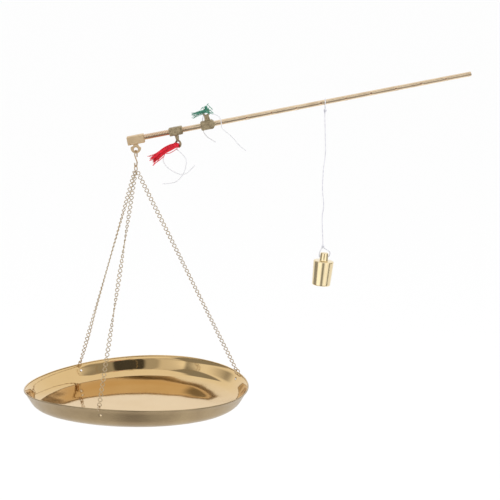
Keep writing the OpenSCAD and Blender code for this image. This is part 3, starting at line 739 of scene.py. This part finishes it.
outside, rim, inside = pan_section()
pan = lathe("pan_sheet", [p * MM for p in outside + rim + inside], 216)
for bearing in ring_bearings:
    turned = Matrix.Rotation(math.radians(bearing), 4, "Z")
    deselect()
    bpy.ops.mesh.primitive_cylinder_add(vertices=24, radius=hole_radius * MM, depth=6 * MM)
    drill = bpy.context.object
    drill.matrix_world = (turned @ Matrix.Translation(hole_place * MM)
                          @ Matrix.Rotation(math.pi - hole_angle, 4, "Y"))
    bore(pan, drill)
pan.data.materials.append(pan_polish)
pan.data.materials.append(pan_dull_and_shaded)
# Faces that turn down, and those turned out at the rim, get the outside brass with its painted shade.
for face in pan.data.polygons:
    face.use_smooth = True
    outward = face.center.x * face.normal.x + face.center.y * face.normal.y
    at_rim = math.hypot(face.center.x, face.center.y) > rim_start * MM
    face.material_index = 1 if face.normal.z < -0.05 or (outward > 0 and at_rim) else 0
for corner in pan.data.vertices:
    corner.co.z += out_of_true(corner.co.x / MM, corner.co.y / MM) * MM
pan.data.transform(pan_frame)
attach(pan, "pan")
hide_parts("pan")


# Rim rings. Three long wire rings go through the pan's wall and over its rim, each soft
# soldered shut.
ring_wire = 0.9 * MM
ring_length = 8.8 * MM
ring_width = 4.4 * MM
ring_lean = math.radians(20)
side_leans = (-7, 0, 7)
ring_axis = Vector((math.sin(ring_lean), 0, math.cos(ring_lean)))


def oval_ring(length, width, wire, steps, sides):
    """A wire oval in the XZ plane, long along Z: a ring whose halves are drawn apart."""
    deselect()
    bpy.ops.mesh.primitive_torus_add(major_segments=steps, minor_segments=sides, major_radius=width / 2,
                                     minor_radius=wire / 2, rotation=(math.radians(90), 0, 0))
    oval = bpy.context.object
    bpy.ops.object.transform_apply(location=True, rotation=True, scale=True)
    for corner in oval.data.vertices:
        corner.select = corner.co.z > 1e-7
    bpy.ops.object.mode_set(mode="EDIT")
    bpy.ops.transform.translate(value=(0, 0, length - width))
    bpy.ops.object.mode_set(mode="OBJECT")
    bpy.ops.object.shade_smooth()
    return oval


def ring_place(bearing, side_lean):
    """Where a rim ring's hole is, with the ring's own lean."""
    return (pan_frame @ Matrix.Rotation(math.radians(bearing), 4, "Z") @ Matrix.Translation(hole_place * MM)
            @ Matrix.Rotation(math.radians(side_lean), 4, "X"))


ring_names = ("pan_ring_right", "pan_ring_rear", "pan_ring_front")
for name, bearing, side_lean in zip(ring_names, ring_bearings, side_leans):
    ring = oval_ring(ring_length, ring_width, ring_wire, 32, 10)
    ring.name = name + "_wire"
    ring.data.transform(ring_place(bearing, side_lean) @ Matrix.Translation(ring_axis * ring_width / 2)
                        @ Matrix.Rotation(ring_lean, 4, "Y"))
    ring.data.materials.append(wire_brass)
    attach(ring, "pan")
    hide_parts(name)


# Chains. Three curb chains of about fifty brass wire links. Each link's ends are twisted
# against each other, so that the links lie one like the next. Each chain hangs taut from
# the gather ring to its rim ring, and its links roll little by little between the two.
link_wire = 0.8 * MM
link_length = 5.29 * MM
link_width = 3.3 * MM
link_twist = 42
link_slack = 0.03 * MM
chain_brass = brass("chain_brass", (0.58, 0.46, 0.30), (0.34, 0.26, 0.15), 200, 0.5, (0.18, 0.3))


def curb_link():
    """One link along X: a wire oval whose two ends are twisted apart."""
    link = oval_ring(link_length, link_width, link_wire, 16, 6)
    link.data.transform(Matrix.Rotation(math.radians(90), 4, "Y")
                        @ Matrix.Translation((0, 0, -(link_length - link_width) / 2)))
    link.data.transform(Matrix.Rotation(math.radians(90), 4, "X"))
    for corner in link.data.vertices:
        share = corner.co.x / (link_length / 2)
        corner.co.rotate(Matrix.Rotation(math.radians(link_twist) * share, 3, "X"))
    link.data.update()
    return link


def rolled(turning, along):
    """The share of the chain's roll that is done at a share of its length."""
    for (a, low), (b, high) in zip(turning, turning[1:]):
        if along <= b:
            return low + (high - low) * (along - a) / (b - a)
    return turning[-1][1]


def chain(name, bearing, side_lean, gather_bearing, half_turns, turning):
    """Links from the gather ring to a rim ring. The first and the last link lie as their rings
    let them, with the half turns between them, and the turning says how the roll is shared."""
    gather_angle = math.radians(gather_bearing)
    lean = math.radians(side_lean)
    start = gather_centre + (gather_side * math.sin(gather_angle) - plumb * math.cos(gather_angle)) * (
        gather_radius - (gather_wire + link_wire) / 2 - 2 * link_slack)
    eye = ring_place(bearing, side_lean) @ (ring_axis * (ring_length - ring_width / 2))
    way = (eye - start).normalized()
    run = (eye - start).length - (ring_width - ring_wire - link_wire) / 2 + link_slack
    count = 1 + math.ceil((run - link_length) / (link_length - link_wire - link_slack))
    pitch_along = (run - link_length) / (count - 1)
    side = plumb.cross(way).normalized()
    lift = way.cross(side)
    top = way.cross(gather_side * math.cos(gather_angle) + plumb * math.sin(gather_angle))
    foot = Matrix.Rotation(math.radians(bearing), 3, "Z") @ Vector((0, math.cos(lean), math.sin(lean)))
    roll_top = math.degrees(math.atan2(top.dot(lift), top.dot(side))) + link_twist
    roll_foot = math.degrees(math.atan2(foot.dot(lift), foot.dot(side))) - link_twist
    roll_by = roll_foot - roll_top
    roll_by += 180 * (half_turns - round(roll_by / 180))
    base = Matrix((way, side, lift)).transposed().to_4x4()
    pattern = curb_link()
    links = []
    for i in range(count):
        link = pattern.copy()
        link.data = pattern.data.copy()
        bpy.context.collection.objects.link(link)
        place = start + way * (link_length / 2 + i * pitch_along)
        own_roll = math.radians(roll_top + roll_by * rolled(turning, i / (count - 1)))
        link.data.transform(Matrix.Translation(place) @ base @ Matrix.Rotation(own_roll, 4, "X"))
        links.append(link)
    bpy.data.objects.remove(pattern, do_unlink=True)
    deselect()
    for link in links:
        link.select_set(True)
    bpy.context.view_layer.objects.active = links[0]
    bpy.ops.object.join()
    joined = bpy.context.object
    joined.name = name + "_links"
    joined.data.materials.append(chain_brass)
    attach(joined, "pan")
    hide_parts(name)


chain("chain_right", ring_bearings[0], side_leans[0], 38, 0,
      ((0, 0), (0.15, -0.6), (0.5, 0.7), (0.78, 0.7), (0.93, 0.1), (1, 1)))
chain("chain_rear", ring_bearings[1], side_leans[1], -42, -1,
      ((0, 0), (0.11, 0.12), (0.22, 0.34), (0.55, 0.455), (0.745, 0.55), (0.895, 0.79), (1, 1)))
chain("chain_front", ring_bearings[2], side_leans[2], -2, 2,
      ((0, 0), (0.15, -0.03), (0.295, 0.17), (0.453, 0.445), (0.595, 0.72), (0.726, 0.96), (1, 1)))


# Poise. A weight turned from solid brass and polished, with a rounded shoulder and foot. It
# hangs from its thread, which goes through a hole drilled across its neck.
poise_bore = Vector((104.877, 0, -127.046)) * MM
poise_lean = math.radians(5.5)
poise_foot = -25.2
poise_shoulder = -3.2
foot_radius = 8.05
shoulder_radius = 8.95
poise_corner = 0.9
neck_radius = 3.45
neck_top = 3.8
neck_corner = 0.6
bore_radius = 1.2
poise_brass = brass("poise_brass", (0.84, 0.70, 0.44), (0.72, 0.57, 0.33), 90, 0.4, (0.12, 0.2),
                    grain=2000)


def poise_section():
    """The weight's section from the middle of its foot to the middle of its neck's top, in
    millimetres out from its axis and up from its bore."""
    low = poise_foot + poise_corner
    high = poise_shoulder - poise_corner
    points = [(0, poise_foot), (3.2, poise_foot + 0.1), (6.4, poise_foot)]
    for a in map(math.radians, range(0, 91, 15)):
        points.append((foot_radius + poise_corner * (math.sin(a) - 1), low - poise_corner * math.cos(a)))
    for share in (0.02, 0.25, 0.5, 0.75, 0.98):
        points.append((foot_radius + (shoulder_radius - foot_radius) * share, low + (high - low) * share))
    for a in map(math.radians, range(0, 91, 15)):
        points.append((shoulder_radius + poise_corner * (math.cos(a) - 1), high + poise_corner * math.sin(a)))
    points += [(5.6, -3.2), (4.4, -3.15), (4.0, -3.0), (3.85, -2.6), (3.45, 2.9)]
    for a in map(math.radians, range(0, 91, 18)):
        points.append((neck_radius + neck_corner * (math.cos(a) - 1),
                       neck_top + neck_corner * (math.sin(a) - 1)))
    points += [(1.2, neck_top), (0, neck_top)]
    return [Vector((x, 0, z)) * MM for x, z in points]


poise = lathe("poise_weight", poise_section(), 64)
deselect()
bpy.ops.mesh.primitive_cylinder_add(vertices=32, radius=bore_radius * MM, depth=14 * MM,
                                    rotation=(0, math.radians(90), 0))
bore(poise, bpy.context.object)
poise.data.transform(Matrix.Translation(poise_bore) @ Matrix.Rotation(poise_lean, 4, "Y"))
deselect()
poise.select_set(True)
bpy.context.view_layer.objects.active = poise
bpy.ops.object.shade_smooth_by_angle(angle=math.radians(40))
poise.data.materials.append(poise_brass)
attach(poise, "poise")
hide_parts("poise")


# Poise thread. White cotton twisted from three plies: a loop that rides on the beam, a
# hitched eye with its knot, the long fall, and a low knot with a loop through the neck.
thread_thickness = 1.0 * MM
thread_plies = 3
thread_lay = 2.8 * MM
poise_axis = Vector((103.677, 0, 10.154)) * MM
loop_foot = poise_axis - plumb * 7.4 * MM
top_knot = loop_foot - plumb * 1.85 * MM
low_knot = poise_axis - plumb * 128 * MM
hitch_radius = 0.95 * MM
beam_butt = -59.4
beam_tip = 232.4
butt_thickness = 4.8
tip_thickness = 4.1
knot_turn = Matrix.Rotation(math.radians(90), 3, "X")
cotton = yarn("cotton", (0.84, 0.84, 0.87), (0.62, 0.62, 0.68), 700)


def thread_piece(name, body, runs):
    strands = new_strands(name + "_thread")
    for line, closed in runs:
        add_plies(strands, line, thread_thickness, thread_plies, thread_lay, closed=closed)
    piece = finish_strands(strands, cotton)
    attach(piece, body)
    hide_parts(name)


def knot_line(centre, size, turn):
    """An overhand knot, drawn tight."""
    points = []
    for i in range(48):
        t = math.tau * i / 48
        place = Vector((math.sin(t) + 2 * math.sin(2 * t), math.cos(t) - 2 * math.cos(2 * t),
                        -1.2 * math.sin(3 * t)))
        points.append(centre + turn @ place * size)
    return points


def beam_radius(along):
    """The tapered beam's upright radius, at millimetres from the lifting eye."""
    share = (along - beam_butt) / (beam_tip - beam_butt)
    return (butt_thickness + (tip_thickness - butt_thickness) * share) / 2 / math.cos(beam_tilt) * MM


loop_radius = beam_radius(30) + 0.52 * MM
loop_centre = poise_axis + plumb * (beam_radius(103.6) + 0.5 * MM - loop_radius)
over_beam = [loop_centre + loop_radius * Vector((0, math.cos(a), math.sin(a)))
             for a in map(math.radians, range(-30, 211, 20))]
under = [loop_foot + Vector((0, y, z)) * MM for y, z in ((-1.35, 0.55), (-0.9, 0), (0.9, 0), (1.35, 0.55))]
thread_piece("poise_loop", "poise_loop", [(smooth_line(over_beam + under, 0.3 * MM, closed=True), True)])

hitch = [loop_foot + hitch_radius * Vector((math.cos(a), 0, math.sin(a)))
         for a in map(math.radians, range(0, 360, 30))]
thread_piece("poise_knot", "poise_knot", [
    (smooth_line(hitch, 0.25 * MM, closed=True), True),
    (smooth_line(knot_line(top_knot, 0.19 * MM, knot_turn), 0.2 * MM, closed=True), True)])

fall_top = top_knot - Vector((0, 0, 0.995)) * MM
waves = ((0.15, 0.5), (0.3, 0.9), (0.42, -0.6), (0.56, -1.1), (0.68, 0.1), (0.78, -1.0), (0.9, -0.4))
fall = [fall_top, fall_top.lerp(low_knot, 0.04)]
fall += [fall_top.lerp(low_knot, share) + Vector((off, 0.3 * off, 0)) * MM for share, off in waves]
fall += [fall_top.lerp(low_knot, 0.97), low_knot]
fall_line = smooth_line(fall, 0.45 * MM)
neck = [low_knot, low_knot + Vector((1.8, 0, -1.6)) * MM]
for x, z in ((4.75, 4.6), (4.85, 2), (4.05, 0.5), (2.75, 0),
             (-2.75, 0), (-4.0, 0.4), (-4.35, 1.8), (-3.7, 4.9)):
    neck.append(poise_bore + Vector((x, 0, z)) * MM)
neck.append(low_knot + Vector((-1.2, 0, -1.8)) * MM)
thread_piece("poise_cord", "poise_cord", [
    (fall_line, False), (smooth_line(neck, 0.3 * MM, closed=True), True),
    (smooth_line(knot_line(low_knot, 0.34 * MM, knot_turn), 0.2 * MM, closed=True), True)])


# Red tassel. A bundle of red wool yarn is looped through the red eye, bound at its head
# and cut off uneven. It stands out stiffly and droops, its cut ends fray into locks, and a
# few strands of other colours stray from it.
random.seed(11)
red_wool = yarn("red_wool", (0.88, 0.012, 0.04), (0.56, 0.004, 0.018), 500, 0.1)
dark_red_wool = yarn("dark_red_wool", (0.45, 0.01, 0.03), (0.24, 0.006, 0.02), 500, 0.1)
pink_wool = yarn("pink_wool", (0.66, 0.34, 0.40), (0.46, 0.20, 0.26), 700)
mauve_wool = yarn("mauve_wool", (0.30, 0.17, 0.24), (0.16, 0.09, 0.14), 700)
ring_foot = Vector((-23.205, 0, -30.183)) * MM
tassel_length = 25.6 * MM
tassel_width = 4.4 * MM
tassel_droop = 7.4 * MM
tassel_way = Vector((-0.905, -0.366, -0.17)).normalized()
tassel_side = tassel_way.cross(plumb).normalized()
tassel_lift = tassel_side.cross(tassel_way)


def ring_strands(strands, centre, axis, radius, thickness, count, spread, look_index):
    """Loops of yarn round an eye's wire."""
    first = axis.cross(Vector((0.2, 0.5, 1))).normalized()
    second = axis.cross(first)
    for i in range(count):
        middle = centre + axis * random.uniform(-spread, spread)
        size = radius + random.uniform(-0.35, 0.35) * thickness
        bend = random.uniform(0, math.tau)
        line = [middle + (first * math.cos(a) + second * math.sin(a)) * size
                + axis * 0.2 * spread * math.sin(2 * a + bend) for a in map(math.radians, range(0, 360, 24))]
        add_strand(strands, line, thickness, look_index, closed=True)


def skirt(strands, head, way, side, lift, length, width, thickness, locks, count, fray, colours, droop=0.0):
    """Locks of yarn strands that leave a bound head together and part towards their cut ends.
    Each lock has its own reach and stray, and each strand a little more of both."""
    for lock in range(locks):
        bearing = math.tau * (lock + random.uniform(-0.3, 0.3)) / locks
        out = width / 2 * math.sqrt((lock + 0.4) / locks)
        reach = length * random.uniform(0.84, 1.0)
        part = (random.gauss(0, fray), random.gauss(0, fray))
        for _ in range(count):
            angle = random.uniform(0, math.tau)
            rank = math.sqrt(random.random()) * width * 0.24
            own = reach * random.uniform(0.9, 1.05)
            stray = (part[0] + random.gauss(0, 0.35 * fray), part[1] + random.gauss(0, 0.35 * fray))
            wave = (random.uniform(0, math.tau), random.uniform(0.4, 1.0), random.uniform(0, math.tau))
            line = []
            for k in range(13):
                t = k / 12
                swell = 0.6 + 0.4 * min(1, t / 0.3)
                curl = 0.06 * width * math.sin(wave[0] + 7 * t * wave[1]) * t
                tip = width * (max(0, t - 0.45) / 0.55) ** 1.6
                off = swell * (out * math.cos(bearing) + rank * math.cos(angle)) + curl + stray[0] * tip
                over = (swell * (out * math.sin(bearing) + rank * math.sin(angle))
                        + curl * math.cos(wave[2]) + stray[1] * tip)
                line.append(head + way * own * t + side * off + lift * over - plumb * droop * t * t)
            add_strand(strands, line, thickness * random.uniform(0.8, 1.2), random.choice(colours), taper=0.6)


def binding(strands, centre, way, side, lift, radius, thickness, turns, look_index):
    """A yarn wound round the head, turn beside turn."""
    line = []
    for i in range(turns * 14 + 1):
        angle = math.tau * i / 14
        line.append(centre + way * thickness * 0.95 * (i / 14 - turns / 2)
                    + (side * math.cos(angle) + lift * math.sin(angle)) * radius)
    add_strand(strands, line, thickness, look_index)


red = new_strands("red_tassel_yarn")
tilt_axis = Vector((0.7504, -0.6428, 0.1540))
ring_strands(red, ring_foot + Vector((-0.9, 0, 0.9)) * MM, tilt_axis, 1.6 * MM, 0.6 * MM, 14, 1.5 * MM, 0)
tassel_head = ring_foot + Vector((-0.9, -0.6, 2.0)) * MM
skirt(red, tassel_head, tassel_way, tassel_side, tassel_lift,
      tassel_length, tassel_width, 0.62 * MM, 7, 15, 0.2, (0, 0, 0, 0, 0, 0, 1), tassel_droop)
binding(red, tassel_head + tassel_way * 2.6 * MM, tassel_way, tassel_side, tassel_lift,
        2.1 * MM, 0.4 * MM, 4, 0)
for points, colour, thickness in (
        (((-36, -7.0, -32.0), (-41, -8.6, -34.2), (-46, -9.6, -36.2), (-50.2, -10.2, -37.6)), 2, 0.45),
        (((-38, -7.0, -33.4), (-43, -8.6, -35.8), (-47, -9.6, -37.2), (-49, -9.8, -37.6)), 0, 0.5),
        (((-36, -6.0, -38.0), (-40, -8.0, -41.2), (-43, -9.0, -43.2), (-45.6, -9.6, -45.8)), 3, 0.7),
        (((-37, -6.0, -37.4), (-41, -8.0, -40.4), (-43.6, -9.0, -42.4), (-45.0, -9.6, -45.0)), 3, 0.5),
        (((-41, -8.0, -38.0), (-44, -9.0, -40.0), (-46.4, -9.6, -40.8), (-48.6, -9.8, -41.4)), 2, 0.5),
        (((-24.5, -1.4, -31.6), (-27.5, -2.6, -33.6), (-31, -3.8, -35.4), (-34.6, -5.0, -35.8)), 0, 0.6)):
    add_strand(red, smooth_line([Vector(p) * MM for p in points], 0.8 * MM), thickness * MM, colour)
silk_root = [Vector(p) * MM for p in (
    (-33.6, -3.8, -31.2), (-35, -4.4, -34.8), (-35.8, -5.0, -36.8), (-36, -5.2, -37.8))]
add_plies(red, smooth_line(silk_root, 0.3 * MM), silk_thickness, silk_plies, silk_lay, 4)
finish_strands(red, red_wool, dark_red_wool, pink_wool, mauve_wool, silk)
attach(red, "red_tassel")
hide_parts("red_tassel")


# Green tassel. Green and olive wool yarn goes through the lifting eye, which it half
# covers, and is knotted in front. Its sparse skirt lies to the left, and a pale looped
# end, dark ends and short green ends stand up and to the right.
random.seed(5)
green_wool = yarn("green_wool", (0.10, 0.36, 0.24), (0.03, 0.17, 0.11), 800)
olive_wool = yarn("olive_wool", (0.28, 0.24, 0.15), (0.12, 0.10, 0.06), 800)
grey_wool = yarn("grey_wool", (0.48, 0.46, 0.54), (0.22, 0.20, 0.28), 800)
black_wool = yarn("black_wool", (0.05, 0.06, 0.06), (0.01, 0.02, 0.02), 800)
pale_wool = yarn("pale_wool", (0.82, 0.84, 0.84), (0.60, 0.62, 0.64), 800)
front_knot = Vector((-0.4, -3.8, 1.6)) * MM
back_knot = Vector((0, 3.5, 1.2)) * MM
skirt_way = Vector((-0.93, 0, -0.368))
skirt_lift = Vector((-0.368, 0, 0.93))
forward = Vector((0, -1, 0))
green = new_strands("green_tassel_yarn")
ring_strands(green, plumb * 3.2 * MM, Vector((1, 0, 0)), 2.3 * MM, 0.45 * MM, 8, 0.8 * MM, 1)
for i, colour in enumerate((1, 1, 0, 1)):
    turn = Matrix.Rotation(math.radians(40 * i), 3, "Y") @ knot_turn
    knot = smooth_line(knot_line(front_knot, (0.34 + 0.05 * i) * MM, turn), 0.4 * MM, closed=True)
    add_strand(green, knot, 0.5 * MM, colour, closed=True)
knot = smooth_line(knot_line(back_knot, 0.36 * MM, knot_turn), 0.4 * MM, closed=True)
add_strand(green, knot, 0.55 * MM, 1, closed=True)
skirt(green, Vector((-1.2, -4.2, 1.8)) * MM, skirt_way, forward, skirt_lift,
      12.4 * MM, 3.2 * MM, 0.42 * MM, 5, 4, 0.22, (0, 0, 0, 0, 3))
skirt(green, Vector((-1.0, -4.0, 2.2)) * MM, skirt_way, forward, skirt_lift,
      7.5 * MM, 2.2 * MM, 0.45 * MM, 2, 4, 0.2, (1, 1, 3))
for points, colour in (
        (((0.4, -4.2, 2.0), (1.4, -4.4, 4.4), (1.0, -4.0, 6.8), (2.4, -3.6, 8.4)), 2),
        (((0.6, -4.2, 2.0), (2.0, -4.4, 3.8), (3.6, -4.2, 5.2), (5.8, -3.8, 3.4)), 2),
        (((1.4, -4.0, 7.6), (2.6, -3.8, 6.4), (4.2, -3.8, 5.0), (5.9, -3.6, 2.6)), 2),
        (((0.2, -4.4, 1.8), (0.8, -4.6, 3.6), (2.0, -4.6, 4.2), (3.2, -4.6, 2.6), (2.6, -4.6, 1.2)), 4),
        (((0.4, -4.5, 1.2), (1.6, -4.8, 2.8), (3.8, -4.8, 3.0), (5.2, -4.6, 1.4), (6.4, -4.4, 0.4)), 4),
        (((0.2, -4.5, 1.6), (1.2, -4.8, 3.2), (2.2, -4.8, 3.4), (2.8, -4.6, 2.4)), 3),
        (((0.3, -4.4, 0.8), (1.8, -4.8, 1.2), (3.2, -4.8, 0.8), (3.8, -4.6, -0.4)), 3),
        (((0.3, -4.4, 1.2), (1.8, -4.8, 1.8), (3.0, -4.8, 1.2), (4.2, -4.6, 0.0)), 0),
        (((0.5, -4.4, 0.8), (2.6, -4.8, 1.0), (4.6, -4.8, 0.6), (6.6, -4.4, 0.8)), 0),
        (((0.5, -4.4, 0.6), (2.4, -4.8, 0.4), (4.4, -4.8, -0.2), (6.2, -4.4, -0.6)), 0),
        (((0.4, -4.4, 0.6), (1.8, -4.8, 0.2), (2.8, -4.8, -0.4), (3.6, -4.6, -1.2)), 0),
        (((0.8, -4.4, 1.4), (3.2, -4.8, 2.2), (5.0, -4.8, 1.6), (6.8, -4.4, -0.2)), 0),
        (((-0.4, -4.0, 1.8), (-1.6, -3.6, 3.8), (-2.8, -3.2, 4.2), (-4.4, -3.0, 3.0)), 1),
        (((-0.3, -4.0, 2.0), (-1.0, -3.4, 4.6), (-2.2, -3.0, 5.0), (-3.6, -2.8, 4.0)), 1)):
    add_strand(green, smooth_line([Vector(p) * MM for p in points], 0.5 * MM), 0.5 * MM, colour)
finish_strands(green, green_wool, olive_wool, grey_wool, black_wool, pale_wool)
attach(green, "lifting_cord")
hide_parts("green_tassel")
